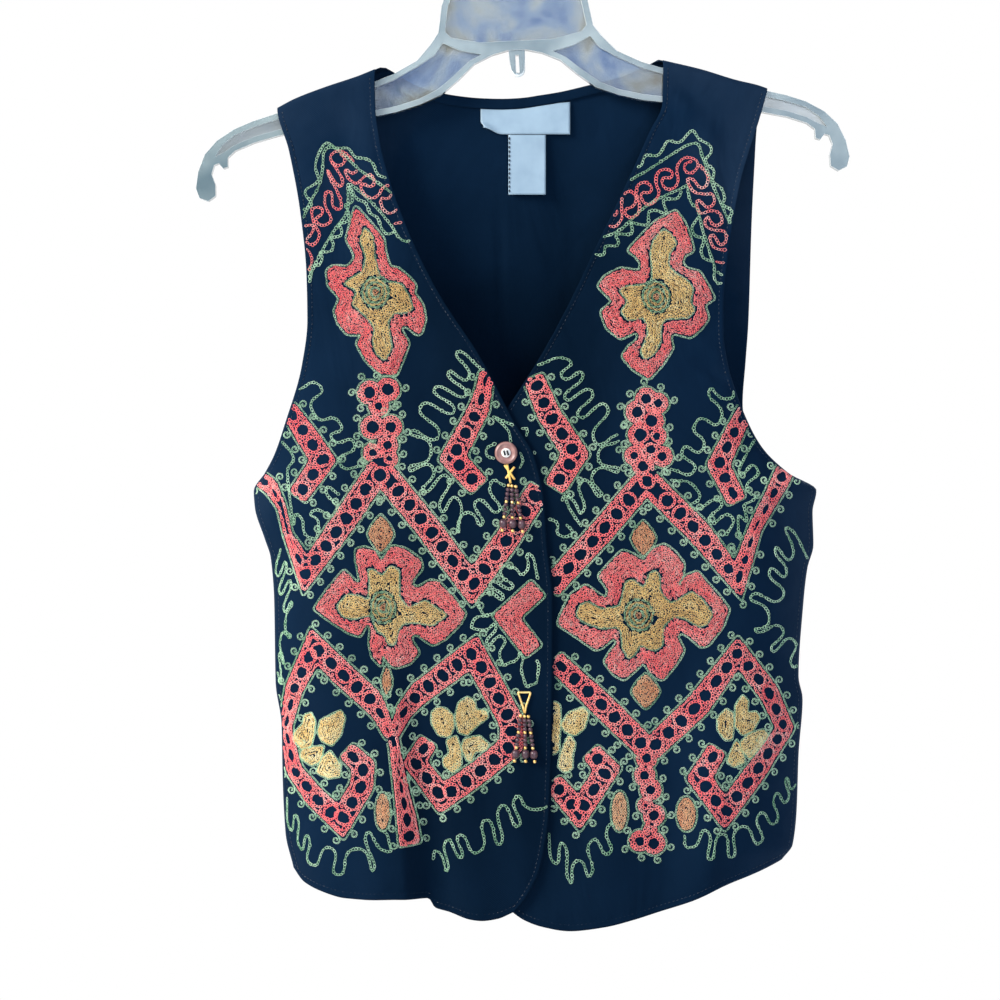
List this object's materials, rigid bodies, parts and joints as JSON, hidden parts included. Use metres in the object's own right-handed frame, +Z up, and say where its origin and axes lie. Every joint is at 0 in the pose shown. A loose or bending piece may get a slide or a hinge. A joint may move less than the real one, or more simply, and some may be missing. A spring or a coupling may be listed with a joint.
{
  "type": "embroidered vest on a clothes hanger",
  "caption": "Sleeveless cotton vest with chain-stitch embroidery on both lapped fronts, a button and bead tassels, open at neck, armholes and hem, hanging on a clear plastic hanger.",
  "frame": {"origin": "the point on the inside of the hanger's hook, at its top, where a rail bears", "axes": "+X to the viewer's right, which is the wearer's left; +Y from the front to the back; +Z up"},
  "size_m": [0.4385, 0.0721, 0.7176],
  "materials": {
    "cloth": "navy-black cotton, fine plain weave with a faint sheen",
    "label_satin": "white satin ribbon",
    "button_plastic": "polished dusty pink resin",
    "bead_glass": "opaque mauve glass beads",
    "gold_wire": "bright gold-coloured wire",
    "clear_plastic": "clear moulded polystyrene",
    "coral_thread": "twisted rayon embroidery thread",
    "gold_thread": "twisted rayon embroidery thread",
    "green_thread": "twisted rayon embroidery thread"
  },
  "bodies": {
    "root": {"right_front": "cloth", "left_front": "cloth", "back": "cloth", "back_neck_band": "cloth", "neck_label": "label_satin", "care_tag": "label_satin", "button": "button_plastic", "upper_tassel": "bead_glass", "lower_tassel": "bead_glass", "bail": "gold_wire", "hanger": "clear_plastic"}
  },
  "joints": []
}
